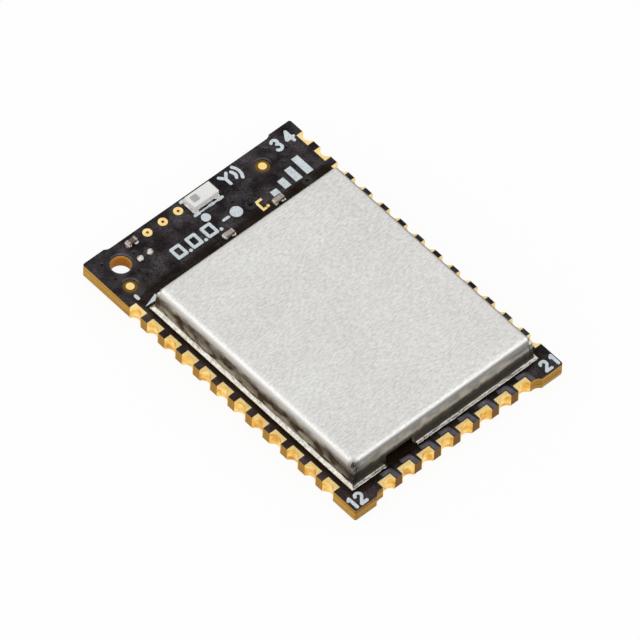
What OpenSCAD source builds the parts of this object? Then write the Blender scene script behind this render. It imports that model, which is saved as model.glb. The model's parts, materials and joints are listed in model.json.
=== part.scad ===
// Surface-mount radio module: a thin circuit board with plated half-hole pads on three edges,
// a folded shield can soldered over the radio circuit, and a chip antenna on the clear end.
// X runs across the board, Y along it towards the antenna end, and Z up from the solder side.
// The origin is the middle of the board on its solder side. All sizes are in millimetres.

/* [Board] */
// Width of the board between its two long edges
board_w = 13.65; // [12.2:0.05:17]
// Length of the board over its corner tabs
board_l = 19.85; // [17.8:0.05:26]
// Thickness of the finished board
board_t = 0.8; // [0.6:0.1:1.6]
// Thickness of the solder mask, and of the lands that lie flush in it
skin_t = 0.035; // [0.02:0.005:0.06]
// How far the solder mask stops short of the routed edges
mask_inset = 0.01; // [0.01:0.01:0.1]
// Radius of the board's corners
board_corner_r = 0.12; // [0.05:0.01:0.3]
// Width of the corner tabs beside the routed end edges
tab_w = 1.4; // [1:0.05:1.5]
// Depth of the routed pad end behind its corner tabs
pad_end_recess = 0.2; // [0.08:0.01:0.3]
// Depth of the routed antenna end behind its corner tabs
antenna_end_recess = 0.13; // [0.08:0.01:0.3]
// Radius of the router that cut the two ends
router_r = 0.45; // [0.35:0.05:0.6]

/* [Edge pads] */
// Distance between neighbouring pads
pad_pitch = 1.27; // [1.1:0.01:2]
// Width of a pad's land along the edge
pad_w = 0.82; // [0.7:0.01:0.95]
// Land left behind the half hole on the upper side
pad_rim = 0.15; // [0.08:0.01:0.2]
// Depth of the land on the solder side
pad_under_d = 0.9; // [0.6:0.05:1.3]
// Radius of the plated half hole
pad_hole_r = 0.39; // [0.3:0.01:0.43]
// Distance of the half hole's axis outside the edge
pad_hole_out = 0.14; // [0.05:0.01:0.2]
// Thickness of the plating in the half holes and the test points
plating_t = 0.035; // [0.02:0.005:0.05]
// Distance from the pad end to the first pad of each long edge
side_pad_start = 1.99; // [1.8:0.01:2.6]
// Least distance from the left row's last pad to the antenna end
left_row_clear = 3.85; // [3.4:0.05:6]
// Least distance from the right row's last pad to the antenna end
right_row_clear = 1.32; // [1:0.01:4]
// Least distance from the end row's outer pads to the long edges
end_row_clear = 2.35; // [2.3:0.05:4]

/* [Tooling hole, fiducials and test points] */
// Diameter of the tooling hole
tooling_d = 1.1; // [0.8:0.05:1.3]
// Distance of the tooling hole from the left edge
tooling_from_left = 1.42; // [1:0.02:1.8]
// Distance of the tooling hole from the antenna end
tooling_from_end = 1.24; // [1:0.01:1.4]
// Diameter of a fiducial's gold disc
fiducial_d = 0.44; // [0.4:0.02:0.7]
// Width of the clear ring between a fiducial's disc and the mask
fiducial_ring = 0.17; // [0.1:0.01:0.25]
// Distance of the left fiducial from the left edge
left_fiducial_from_edge = 0.88; // [0.8:0.02:1.4]
// Distance of the left fiducial from the antenna end
left_fiducial_from_end = 2.53; // [2.35:0.01:2.7]
// Distance of the right fiducial from the right edge
right_fiducial_from_edge = 2.94; // [2:0.02:3.4]
// Distance of the right fiducial from the antenna end
right_fiducial_from_end = 1.26; // [0.9:0.02:2]
// Number of test points
test_points_n = 3; // [1:1:3]
// Diameter of a test point's ring land
test_point_d = 0.5; // [0.4:0.02:0.6]
// Diameter of the hole in a test point
test_point_bore_d = 0.16; // [0.1:0.02:0.24]
// Distance between neighbouring test points
test_point_pitch = 1.01; // [0.8:0.01:1.1]
// Distance of the row's last test point left of the antenna
test_row_gap = 0.54; // [0.35:0.01:0.6]
// Distance of the test points from the antenna end
test_row_from_end = 0.62; // [0.5:0.02:0.9]

/* [Antenna and outer chips] */
// Length of the chip antenna
antenna_l = 1.6; // [1.4:0.05:2]
// Width of the chip antenna
antenna_w = 0.8; // [0.6:0.05:1]
// Height of the chip antenna
antenna_h = 0.45; // [0.3:0.05:0.8]
// Length of the antenna's end terminals
antenna_band = 0.22; // [0.15:0.01:0.35]
// Height of those terminals on the antenna's sides
antenna_terminal_h = 0.14; // [0.06:0.02:0.26]
// Distance of the antenna's middle from the left edge
antenna_from_left = 7.07; // [6.6:0.01:8]
// Distance of the antenna's middle from the antenna end
antenna_from_end = 0.84; // [0.8:0.02:1.4]
// Length of an outer chip
outer_chip_l = 0.6; // [0.5:0.02:0.7]
// Width of an outer chip
outer_chip_w = 0.3; // [0.25:0.01:0.4]
// Height of an outer chip
outer_chip_h = 0.26; // [0.2:0.02:0.4]
// Length of an outer chip's end terminals
outer_chip_band = 0.15; // [0.1:0.01:0.2]
// Distance of the matching chip's middle left of the first test point
match_chip_gap = 1.03; // [0.85:0.01:1.1]
// Distance of the matching chip's middle from the antenna end
match_chip_from_end = 0.6; // [0.5:0.02:0.8]
// Distance from the can's wall to the two chips beside it
can_chip_gap = 0.92; // [0.8:0.02:1.3]
// Distance of the first of those chips from the left edge
first_can_chip_from_left = 6.6; // [6:0.05:7.5]
// Distance of the second of those chips from the left edge
second_can_chip_from_left = 9.87; // [9.5:0.01:11]
// Diameter of the solder domes on the two empty lands
spare_dome_d = 0.4; // [0.28:0.02:0.44]
// Height of those solder domes
spare_dome_h = 0.18; // [0.08:0.02:0.2]
// Distance between the two empty lands
spare_pitch = 0.62; // [0.5:0.01:0.7]
// Distance of the two empty lands' middle left of the matching chip
spare_left = 0; // [-0.1:0.01:0.06]
// Distance of the two empty lands from the antenna end
spare_from_end = 1.62; // [1.3:0.02:1.8]
// Length of the bent feed land along the board
feed_l = 0.7; // [0.5:0.02:0.9]
// Length of the feed land's two arms
feed_arm = 0.44; // [0.3:0.02:0.5]
// Width of the feed land's strokes
feed_stroke = 0.14; // [0.08:0.01:0.18]
// Distance of the feed land from the left edge
feed_from_left = 8.88; // [8.2:0.02:8.9]
// Distance from the can's wall to the feed land
feed_gap = 0.91; // [0.7:0.01:1.3]

/* [Shield can] */
// Distance from the board's long edges to the can's side walls
can_side_gap = 0.86; // [0.8:0.01:1.2]
// Distance from the pad end to the can's end wall
can_end_gap = 1.18; // [1.1:0.01:1.6]
// Length of board left clear of the can at the antenna end
antenna_zone = 4.28; // [4.2:0.02:5.2]
// Height of the can
can_h = 1.65; // [1.3:0.05:2.4]
// Thickness of the can's sheet
can_sheet = 0.15; // [0.1:0.01:0.2]
// Outer radius of the folded top edges
can_bend_r = 0.45; // [0.25:0.01:0.5]
// Lean of the can's walls out of the upright, in degrees
wall_lean = 4.5; // [1:0.5:8]
// Width of the open seams beside the can's corners
seam_w = 0.05; // [0.02:0.01:0.1]
// Radius of the relief where two folds meet
relief_r = 0.14; // [0.12:0.01:0.25]
// Width of the notch in the can's end wall
notch_w = 1.85; // [1:0.05:2.4]
// Height of that notch
notch_h = 0.55; // [0.3:0.05:0.8]
// Radius of the notch's upper corners
notch_r = 0.1; // [0.05:0.01:0.2]
// Distance of the notch's middle left of the can's middle
notch_left = 2.84; // [1.5:0.02:3.2]
// Width and height of the solder fillet at the can's foot
fillet_w = 0.14; // [0.1:0.01:0.3]
// Blunt edge of the solder fillet
fillet_tip = 0.03; // [0.02:0.01:0.05]
// Distance from the notch to the ends of the solder fillet and its land
fillet_notch_gap = 0.08; // [0.04:0.01:0.2]
// Land in front of the can's walls
shield_land_out = 0.15; // [0.1:0.01:0.4]
// Land behind the can's walls
shield_land_in = 0.2; // [0.1:0.01:0.3]

/* [Parts inside the can] */
// Gap between neighbouring parts
part_gap = 0.6; // [0.4:0.05:0.7]
// Distance from the can's walls to the parts nearest to them
wall_clear = 0.83; // [0.6:0.01:0.9]
// Side of the radio chip's square package
radio_w = 5; // [4:0.1:6]
// Height of the radio chip
radio_h = 0.85; // [0.6:0.05:1]
// Leads on each side of the radio chip
radio_leads_n = 8; // [4:1:8]
// Side of the front end chip's square package
front_end_w = 2.5; // [2.2:0.1:3]
// Height of the front end chip
front_end_h = 0.75; // [0.5:0.05:0.9]
// Leads on each side of the front end chip
front_end_leads_n = 3; // [2:1:3]
// Distance between neighbouring leads
lead_pitch = 0.5; // [0.4:0.01:0.52]
// Width of a lead
lead_w = 0.24; // [0.18:0.01:0.3]
// Length of a lead
lead_l = 0.34; // [0.3:0.02:0.5]
// Thickness of a lead
lead_t = 0.2; // [0.1:0.01:0.25]
// Margin between a package's edge and its middle heat pad
heat_pad_margin = 0.8; // [0.7:0.05:1]
// Length of the reference crystal
crystal_l = 2.5; // [2:0.1:3.2]
// Width of the reference crystal
crystal_w = 2; // [1.6:0.1:2.5]
// Height of the reference crystal
crystal_h = 0.6; // [0.5:0.05:0.9]
// Length of the sleep crystal
sleep_crystal_l = 3.2; // [2:0.1:3.4]
// Width of the sleep crystal
sleep_crystal_w = 1.5; // [1.2:0.05:1.6]
// Height of the sleep crystal
sleep_crystal_h = 0.75; // [0.5:0.05:0.9]
// Thickness of the crystals' lids
lid_t = 0.12; // [0.08:0.01:0.2]
// Margin between a crystal's edge and its lid
lid_margin = 0.15; // [0.1:0.01:0.2]
// Length of the band filter
filter_l = 2; // [1.6:0.1:2.2]
// Width of the band filter
filter_w = 1.25; // [0.8:0.05:1.4]
// Height of the band filter
filter_h = 0.9; // [0.6:0.05:1]
// Length of the supply inductor
inductor_l = 2; // [1.6:0.1:2.2]
// Width of the supply inductor
inductor_w = 1.6; // [1.2:0.1:1.8]
// Height of the supply inductor
inductor_h = 1; // [0.8:0.05:1.1]
// Length of a capacitor
capacitor_l = 1; // [0.9:0.02:1.1]
// Width of a capacitor
capacitor_w = 0.5; // [0.4:0.02:0.6]
// Height of a capacitor
capacitor_h = 0.5; // [0.3:0.05:0.7]
// Length of a resistor
resistor_l = 1; // [0.9:0.02:1.1]
// Width of a resistor
resistor_w = 0.5; // [0.4:0.02:0.6]
// Height of a resistor
resistor_h = 0.35; // [0.25:0.05:0.5]
// Length of the end terminals of these parts
chip_band = 0.25; // [0.15:0.01:0.3]
// Distance between neighbouring capacitors or resistors of one row
row_pitch = 1.5; // [1.3:0.05:1.6]

/* [Hidden] */
$fn = 48;

// Overshoot of a cut beyond the faces that it opens
over = 1;
// Wrap of a chip's end terminals over its body
wrap_t = 0.02;
// Edge radius of the ceramic chips
chip_edge_r = 0.03;
// Land that shows round a part's terminals
land_margin = 0.04;
// Share of a solder dome's width that its square land takes
dome_land_share = 0.66;

left_x = -board_w / 2;
right_x = board_w / 2;
pad_end_y = -board_l / 2;
antenna_end_y = board_l / 2;
laminate_t = board_t - 2 * skin_t;

// Edge pads fill each edge at their pitch
barrel_r = pad_hole_r + plating_t;
pad_d = pad_hole_r - pad_hole_out + pad_rim;
left_n = floor((board_l - side_pad_start - left_row_clear) / pad_pitch) + 1;
right_n = floor((board_l - side_pad_start - right_row_clear) / pad_pitch) + 1;
end_n = floor((board_w - 2 * end_row_clear) / pad_pitch) + 1;

// The can lies between the side gaps, the end gap and the antenna zone
can_w = board_w - 2 * can_side_gap;
can_y0 = pad_end_y + can_end_gap;
can_y1 = antenna_end_y - antenna_zone;
can_l = can_y1 - can_y0;
can_y = (can_y0 + can_y1) / 2;
fold_z = can_h - can_bend_r;
// How far a wall leans in from its foot to its fold, and with the fold to the flat top
fold_inset = fold_z * tan(wall_lean);
flat_inset = fold_inset + can_bend_r / cos(wall_lean);

antenna_size = [antenna_l, antenna_w, antenna_h];
outer_chip_size = [outer_chip_l, outer_chip_w, outer_chip_h];

// Places at the antenna end
tooling_at = [left_x + tooling_from_left, antenna_end_y - tooling_from_end];
fiducial_at = [
    [left_x + left_fiducial_from_edge, antenna_end_y - left_fiducial_from_end],
    [right_x - right_fiducial_from_edge, antenna_end_y - right_fiducial_from_end]
];
antenna_at = [left_x + antenna_from_left, antenna_end_y - antenna_from_end];
last_test_x = antenna_at.x - antenna_l / 2 - test_row_gap;
first_test_x = last_test_x - (test_points_n - 1) * test_point_pitch;
test_point_at = [for (i = [0 : test_points_n - 1])
    [first_test_x + i * test_point_pitch, antenna_end_y - test_row_from_end]];
match_chip_at = [first_test_x - match_chip_gap, antenna_end_y - match_chip_from_end];
outer_chip_at = [
    match_chip_at,
    for (x = [first_can_chip_from_left, second_can_chip_from_left])
        [left_x + x, can_y1 + can_chip_gap]
];
spare_at = [for (s = [-1, 1])
    [match_chip_at.x - spare_left + s * spare_pitch / 2, antenna_end_y - spare_from_end]];

// Places inside the can, packed round the radio chip
filter_size = [filter_l, filter_w, filter_h];
inductor_size = [inductor_l, inductor_w, inductor_h];
capacitor_size = [capacitor_l, capacitor_w, capacitor_h];
resistor_size = [resistor_l, resistor_w, resistor_h];
radio_at = [
    can_w / 2 - wall_clear - capacitor_w - part_gap - radio_w / 2,
    can_y1 - wall_clear - max(crystal_l, front_end_w) - part_gap - radio_w / 2
];
radio_left = radio_at.x - radio_w / 2;
radio_right = radio_at.x + radio_w / 2;
radio_top = radio_at.y + radio_w / 2;
radio_bottom = radio_at.y - radio_w / 2;
crystal_at = [
    radio_right + part_gap + capacitor_w - crystal_w / 2,
    radio_top + part_gap + crystal_l / 2
];
front_end_at = [
    crystal_at.x - crystal_w / 2 - part_gap - front_end_w / 2,
    radio_top + part_gap + front_end_w / 2
];
filter_at = [front_end_at.x - front_end_w / 2 - part_gap - filter_l / 2, front_end_at.y];
left_column_x = radio_left - part_gap - inductor_l / 2;
sleep_crystal_at = [left_column_x, radio_top - sleep_crystal_l / 2];
inductor_at = [left_column_x, can_y0 + wall_clear + inductor_w / 2];
capacitor_row_y = radio_bottom - part_gap - capacitor_w / 2;
resistor_row_y = can_y0 + wall_clear + resistor_w / 2;
row_x = [for (i = [-1.5 : 1.5]) radio_at.x + i * row_pitch];
capacitor_column_x = radio_right + part_gap + capacitor_w / 2;

// Each place is x, y and the turn of the part's long side from X
capacitor_places = [
    for (x = row_x) [x, capacitor_row_y, 0],
    for (i = [-1 : 1]) [capacitor_column_x, radio_at.y + i * row_pitch, 90]
];
resistor_places = [for (x = row_x) [x, resistor_row_y, 0]];

// Shared shapes

// Rectangle about the origin with round corners
module round_rect(w, l, r) {
    square([w - 2 * r, l], center = true);
    square([w, l - 2 * r], center = true);
    for (x = [-1, 1], y = [-1, 1])
        translate([x * (w / 2 - r), y * (l / 2 - r)]) circle(r);
}

// Rectangle standing on the X axis with round upper corners
module round_top(w, h, r) {
    translate([-w / 2, 0]) square([w, h - r]);
    translate([-w / 2 + r, 0]) square([w - 2 * r, h]);
    for (x = [-1, 1])
        translate([x * (w / 2 - r), h - r]) circle(r);
}

// Block standing on the origin with all its edges rounded
module round_block(l, w, h, r) {
    intersection() {
        linear_extrude(h) round_rect(l, w, r);
        translate([0, w / 2, h / 2]) rotate([90, 0, 0]) linear_extrude(w) round_rect(l, h, r);
        translate([-l / 2, 0, h / 2]) rotate([90, 0, 90]) linear_extrude(l) round_rect(w, h, r);
    }
}

// Low cap of a sphere, standing on the origin
module dome(d, h) {
    ball_r = (d * d / 4 + h * h) / (2 * h);
    intersection() {
        translate([0, 0, h - ball_r]) sphere(ball_r);
        translate([-d, -d, 0]) cube([2 * d, 2 * d, h + over]);
    }
}

// Layer of lands or mask on the upper side
module top_layer() {
    translate([0, 0, board_t - skin_t]) linear_extrude(skin_t) children();
}

// Moves a part onto the board's upper side
module on_board(at, turn = 0) {
    translate([at.x, at.y, board_t]) rotate([0, 0, turn]) children();
}

// Outline of the board, drawn in by a given inset
module board_outline(inset) {
    difference() {
        round_rect(board_w - 2 * inset, board_l - 2 * inset, board_corner_r);
        router_path(pad_end_y, pad_end_recess, inset);
        mirror([0, 1]) router_path(-antenna_end_y, antenna_end_recess, inset);
    }
}

// Path of the router along one end, with round ends beside the corner tabs
module router_path(end_y, recess, inset) {
    axis_y = end_y + recess - router_r;
    reach = sqrt(pow(router_r, 2) - pow(router_r - recess, 2));
    half_run = board_w / 2 - tab_w - reach;
    for (x = [-1, 1])
        translate([x * half_run, axis_y]) circle(router_r + inset);
    translate([-half_run, axis_y - router_r]) square([2 * half_run, 2 * router_r + inset]);
}

// Edge pads

// Repeats a pad drawn at the origin, with the board on its +X side
module at_left_pads() {
    for (i = [0 : left_n - 1])
        translate([left_x, pad_end_y + side_pad_start + i * pad_pitch]) children();
}

module at_right_pads() {
    for (i = [0 : right_n - 1])
        translate([right_x, pad_end_y + side_pad_start + i * pad_pitch]) rotate(180) children();
}

module at_end_pads() {
    for (i = [0 : end_n - 1])
        translate([(i - (end_n - 1) / 2) * pad_pitch, pad_end_y + pad_end_recess])
            rotate(90) children();
}

module at_edge_pads() {
    at_left_pads() children();
    at_right_pads() children();
    at_end_pads() children();
}

module pad_land(depth) {
    translate([0, -pad_w / 2]) square([depth, pad_w]);
}

module pad_hole(r) {
    translate([-pad_hole_out, 0]) circle(r);
}

// Upper land, plated half hole and solder side land of one pad
module edge_pad() {
    difference() {
        union() {
            linear_extrude(skin_t) pad_land(pad_under_d);
            translate([0, 0, board_t - skin_t]) linear_extrude(skin_t) pad_land(pad_d);
            linear_extrude(board_t) intersection() {
                pad_hole(barrel_r);
                translate([0, -barrel_r]) square(2 * barrel_r);
            }
        }
        translate([0, 0, -over]) linear_extrude(board_t + 2 * over) pad_hole(pad_hole_r);
    }
}

module left_edge_pads() {
    color("gold") at_left_pads() edge_pad();
}

module right_edge_pads() {
    color("gold") at_right_pads() edge_pad();
}

module end_edge_pads() {
    color("gold") at_end_pads() edge_pad();
}

// Lands on the upper side, as flat outlines

module fiducial_discs(d) {
    for (at = fiducial_at)
        translate(at) circle(d = d);
}

module test_point_discs(d) {
    for (at = test_point_at)
        translate(at) circle(d = d);
}

// Ring under the can's walls, open at the notch
module shield_ring() {
    translate([0, can_y]) difference() {
        square([can_w + 2 * shield_land_out, can_l + 2 * shield_land_out], center = true);
        square([can_w - 2 * (can_sheet + shield_land_in), can_l - 2 * (can_sheet + shield_land_in)],
            center = true);
        translate([-notch_left, -can_l / 2])
            square([notch_w + 2 * fillet_notch_gap, 2 * over], center = true);
    }
}

// Bent land with two arms towards the right edge
module feed_outline() {
    translate([left_x + feed_from_left, can_y1 + feed_gap]) {
        square([feed_stroke, feed_l]);
        for (y = [0, feed_l - feed_stroke])
            translate([0, y]) square([feed_arm, feed_stroke]);
    }
}

// Pair of lands under the end terminals of a chip
module chip_land_pair(l, w, band) {
    land_l = band + 2 * land_margin;
    for (s = [-1, 1])
        translate([s * (l / 2 - band / 2), 0]) square([land_l, w + 2 * land_margin], center = true);
}

module antenna_land_pair() {
    translate(antenna_at) chip_land_pair(antenna_l, antenna_w, antenna_band);
}

module outer_chip_land_pairs() {
    for (at = outer_chip_at)
        translate(at) chip_land_pair(outer_chip_l, outer_chip_w, outer_chip_band);
}

module spare_squares() {
    for (at = spare_at)
        translate(at) square(dome_land_share * spare_dome_d, center = true);
}

// Repeats a lead drawn at the origin along the four sides of a square package
module at_leads(w, n) {
    for (side = [0 : 3], i = [0 : n - 1])
        rotate(90 * side) translate([w / 2, (i - (n - 1) / 2) * lead_pitch]) children();
}

module lead_outlines(w, n) {
    at_leads(w, n) translate([-lead_l, -lead_w / 2]) square([lead_l, lead_w]);
    square(w - 2 * heat_pad_margin, center = true);
}

// Four corner lands under a crystal
module crystal_land_set(w, l) {
    for (x = [-1, 1], y = [-1, 1])
        translate([x * w / 4, y * l / 3]) square([w / 3, l / 4], center = true);
}

module inner_land_set() {
    translate(radio_at) lead_outlines(radio_w, radio_leads_n);
    translate(front_end_at) lead_outlines(front_end_w, front_end_leads_n);
    translate(crystal_at) crystal_land_set(crystal_w, crystal_l);
    translate(sleep_crystal_at) crystal_land_set(sleep_crystal_w, sleep_crystal_l);
    translate(filter_at) chip_land_pair(filter_l, filter_w, chip_band);
    translate(inductor_at) chip_land_pair(inductor_l, inductor_w, chip_band);
    for (p = capacitor_places)
        translate([p.x, p.y]) rotate(p.z) chip_land_pair(capacitor_l, capacitor_w, chip_band);
    for (p = resistor_places)
        translate([p.x, p.y]) rotate(p.z) chip_land_pair(resistor_l, resistor_w, chip_band);
}

module fiducials() {
    color("gold") top_layer() fiducial_discs(fiducial_d);
}

// Plated holes with a ring land on both sides
module test_points() {
    color("gold") for (at = test_point_at) translate(at) difference() {
        union() {
            cylinder(d = test_point_d, h = skin_t);
            translate([0, 0, board_t - skin_t]) cylinder(d = test_point_d, h = skin_t);
            cylinder(d = test_point_bore_d + 2 * plating_t, h = board_t);
        }
        translate([0, 0, -over]) cylinder(d = test_point_bore_d, h = board_t + 2 * over);
    }
}

module shield_land() {
    color("gold") top_layer() shield_ring();
}

module feed_land() {
    color("gold") top_layer() feed_outline();
}

module antenna_lands() {
    color("gold") top_layer() antenna_land_pair();
}

module chip_lands() {
    color("gold") top_layer() outer_chip_land_pairs();
}

module spare_lands() {
    color("gold") top_layer() spare_squares();
}

module inner_lands() {
    color("gold") top_layer() inner_land_set();
}

// Board

module board_laminate() {
    color("peru") translate([0, 0, skin_t]) linear_extrude(laminate_t) difference() {
        board_outline(0);
        at_edge_pads() pad_hole(barrel_r);
        translate(tooling_at) circle(d = tooling_d);
        test_point_discs(test_point_bore_d + 2 * plating_t);
    }
}

// Mask outline with the openings that both sides share
module mask_outline(land_depth) {
    difference() {
        board_outline(mask_inset);
        at_edge_pads() {
            pad_land(land_depth);
            pad_hole(barrel_r);
        }
        translate(tooling_at) circle(d = tooling_d);
        test_point_discs(test_point_d);
    }
}

module top_solder_mask() {
    color("dimgray") top_layer() difference() {
        mask_outline(pad_d);
        fiducial_discs(fiducial_d + 2 * fiducial_ring);
        shield_ring();
        feed_outline();
        antenna_land_pair();
        outer_chip_land_pairs();
        spare_squares();
        inner_land_set();
    }
}

module bottom_solder_mask() {
    color("dimgray") linear_extrude(skin_t) mask_outline(pad_under_d);
}

// Chips with end terminals

// Ceramic body, clear of the board by the wrap of its terminals
module chip_body(size) {
    translate([0, 0, wrap_t])
        round_block(size.x - 2 * wrap_t, size.y - 2 * wrap_t, size.z - 2 * wrap_t, chip_edge_r);
}

// Metal caps that wrap the two ends of the body
module chip_terminals(size, band) {
    difference() {
        round_block(size.x, size.y, size.z, chip_edge_r + wrap_t);
        cube([size.x - 2 * band, size.y + over, 2 * size.z + over], center = true);
        chip_body(size);
    }
}

// End terminals that wrap only the foot of the antenna
module antenna_feet() {
    intersection() {
        chip_terminals(antenna_size, antenna_band);
        translate([-antenna_l, -antenna_w, -over])
            cube([2 * antenna_l, 2 * antenna_w, over + antenna_terminal_h]);
    }
}

module antenna_body() {
    color("whitesmoke") on_board(antenna_at) difference() {
        round_block(antenna_l, antenna_w, antenna_h, chip_edge_r + wrap_t);
        antenna_feet();
    }
}

module antenna_terminals() {
    color("silver") on_board(antenna_at) antenna_feet();
}

module outer_chip_bodies() {
    color("rosybrown") for (at = outer_chip_at) on_board(at) chip_body(outer_chip_size);
}

module outer_chip_terminals() {
    color("silver") for (at = outer_chip_at)
        on_board(at) chip_terminals(outer_chip_size, outer_chip_band);
}

// Beads of solder against the two ends of each outer chip
module outer_chip_solder() {
    color("silver") for (at = outer_chip_at, s = [-1, 1])
        on_board(at) difference() {
            translate([s * outer_chip_l / 2, 0, 0]) dome(outer_chip_w, outer_chip_h / 2);
            cube([outer_chip_l, outer_chip_w + over, 2 * outer_chip_h], center = true);
        }
}

module spare_land_solder() {
    color("silver") for (at = spare_at) on_board(at) dome(spare_dome_d, spare_dome_h);
}

// Shield can

// Section of the folded sheet: a flat top, round folds and leaning walls that end on the X axis
module folded_section(half_flat, h, r) {
    foot_x = half_flat + r / cos(wall_lean) + (h - r) * tan(wall_lean);
    fold_x = half_flat + r * cos(wall_lean);
    fold_top = h - r + r * sin(wall_lean);
    polygon([
        [-foot_x, 0], [foot_x, 0], [fold_x, fold_top],
        [half_flat, h], [-half_flat, h], [-fold_x, fold_top]
    ]);
    for (x = [-1, 1])
        translate([x * half_flat, h - r]) circle(r);
}

// Solid block with folded top edges, standing on the can's place
module can_block(h, r) {
    run_w = can_w + 2 * over;
    run_l = can_l + 2 * over;
    intersection() {
        translate([0, run_l / 2, 0]) rotate([90, 0, 0]) linear_extrude(run_l)
            folded_section(can_w / 2 - flat_inset, h, r);
        translate([-run_w / 2, 0, 0]) rotate([90, 0, 90]) linear_extrude(run_w)
            folded_section(can_l / 2 - flat_inset, h, r);
    }
}

// Seam where an end wall butts against a side wall, and the relief where their folds meet,
// for a corner at the origin with the can on its +X and +Y side
module corner_seam() {
    seam_at = can_sheet / cos(wall_lean) + seam_w / 2;
    relief_at = fold_inset + can_sheet / 2;
    translate([seam_at, -over, 0]) rotate([0, wall_lean, 0]) translate([0, 0, -over])
        cube([seam_w, 2 * over, fold_z + over]);
    translate([relief_at, relief_at, fold_z]) cylinder(r = relief_r, h = can_bend_r + over);
}

module shield_can() {
    color("gainsboro") on_board([0, can_y]) difference() {
        can_block(can_h, can_bend_r);
        translate([0, 0, -over]) can_block(can_h - can_sheet + over, can_bend_r - can_sheet);
        for (x = [0, 1], y = [0, 1])
            mirror([x, 0, 0]) mirror([0, y, 0]) translate([-can_w / 2, -can_l / 2, 0]) corner_seam();
        translate([-notch_left, over - can_l / 2, 0]) rotate([90, 0, 0])
            linear_extrude(2 * over) round_top(notch_w, notch_h, notch_r);
    }
}

// Hollow fillet between a wall at X = 0 and the board at Y = 0
module fillet_profile() {
    difference() {
        square(fillet_w);
        translate([fillet_w + fillet_tip, fillet_w + fillet_tip]) circle(fillet_w);
    }
}

// Fillet along one wall, filled up behind to the wall's lean
module fillet_run(length) {
    rotate([90, 0, 90]) translate([0, 0, -length / 2]) linear_extrude(length) {
        fillet_profile();
        polygon([[0, 0], [0, fillet_w], [-fillet_w * tan(wall_lean), fillet_w]]);
    }
}

module shield_solder() {
    color("silver") on_board([0, can_y]) difference() {
        for (s = [0, 1]) rotate([0, 0, 180 * s]) {
            translate([0, can_l / 2, 0]) fillet_run(can_w);
            translate([can_w / 2, 0, 0]) rotate([0, 0, -90]) fillet_run(can_l);
            translate([can_w / 2, can_l / 2, 0]) rotate_extrude(angle = 90) fillet_profile();
            translate([-can_w / 2, can_l / 2, 0]) rotate([0, 0, 90])
                rotate_extrude(angle = 90) fillet_profile();
        }
        translate([-notch_left, -can_l / 2, 0])
            cube([notch_w + 2 * fillet_notch_gap, 2 * over, 2 * over], center = true);
    }
}

// Parts inside the can

// Flat leads and heat pad, flush with the underside and the edges of the package
module package_leads(w, n) {
    linear_extrude(lead_t) lead_outlines(w, n);
}

module package_body(w, h, n) {
    difference() {
        translate([-w / 2, -w / 2, 0]) cube([w, w, h]);
        translate([0, 0, -over]) linear_extrude(lead_t + over) lead_outlines(w, n);
    }
}

module radio_chip_body() {
    color("dimgray") on_board(radio_at) package_body(radio_w, radio_h, radio_leads_n);
}

module radio_chip_leads() {
    color("silver") on_board(radio_at) package_leads(radio_w, radio_leads_n);
}

module front_end_chip_body() {
    color("dimgray") on_board(front_end_at)
        package_body(front_end_w, front_end_h, front_end_leads_n);
}

module front_end_chip_leads() {
    color("silver") on_board(front_end_at) package_leads(front_end_w, front_end_leads_n);
}

module ceramic_base(w, l, h) {
    linear_extrude(h - lid_t) round_rect(w, l, lid_margin);
}

module metal_lid(w, l, h) {
    translate([0, 0, h - lid_t]) linear_extrude(lid_t)
        round_rect(w - 2 * lid_margin, l - 2 * lid_margin, lid_margin);
}

module crystal_base() {
    color("tan") on_board(crystal_at) ceramic_base(crystal_w, crystal_l, crystal_h);
}

module crystal_lid() {
    color("silver") on_board(crystal_at) metal_lid(crystal_w, crystal_l, crystal_h);
}

module sleep_crystal_base() {
    color("tan") on_board(sleep_crystal_at)
        ceramic_base(sleep_crystal_w, sleep_crystal_l, sleep_crystal_h);
}

module sleep_crystal_lid() {
    color("silver") on_board(sleep_crystal_at)
        metal_lid(sleep_crystal_w, sleep_crystal_l, sleep_crystal_h);
}

module rf_filter_body() {
    color("steelblue") on_board(filter_at) chip_body(filter_size);
}

module rf_filter_terminals() {
    color("silver") on_board(filter_at) chip_terminals(filter_size, chip_band);
}

module power_inductor_core() {
    color("darkslategray") on_board(inductor_at) chip_body(inductor_size);
}

module power_inductor_terminals() {
    color("silver") on_board(inductor_at) chip_terminals(inductor_size, chip_band);
}

module capacitor_bodies() {
    color("tan") for (p = capacitor_places) on_board(p, p.z) chip_body(capacitor_size);
}

module capacitor_terminals() {
    color("silver") for (p = capacitor_places)
        on_board(p, p.z) chip_terminals(capacitor_size, chip_band);
}

module resistor_bodies() {
    color("dimgray") for (p = resistor_places) on_board(p, p.z) chip_body(resistor_size);
}

module resistor_terminals() {
    color("silver") for (p = resistor_places)
        on_board(p, p.z) chip_terminals(resistor_size, chip_band);
}

board_laminate();
top_solder_mask();
bottom_solder_mask();
left_edge_pads();
right_edge_pads();
end_edge_pads();
fiducials();
test_points();
shield_land();
feed_land();
antenna_lands();
chip_lands();
spare_lands();
inner_lands();
antenna_body();
antenna_terminals();
outer_chip_bodies();
outer_chip_terminals();
outer_chip_solder();
spare_land_solder();
shield_can();
shield_solder();
radio_chip_body();
radio_chip_leads();
front_end_chip_body();
front_end_chip_leads();
crystal_base();
crystal_lid();
sleep_crystal_base();
sleep_crystal_lid();
rf_filter_body();
rf_filter_terminals();
power_inductor_core();
power_inductor_terminals();
capacitor_bodies();
capacitor_terminals();
resistor_bodies();
resistor_terminals();
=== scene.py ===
import json
import math

import bmesh
import bpy
from mathutils import Matrix, Vector, noise
from mathutils.geometry import delaunay_2d_cdt


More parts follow.
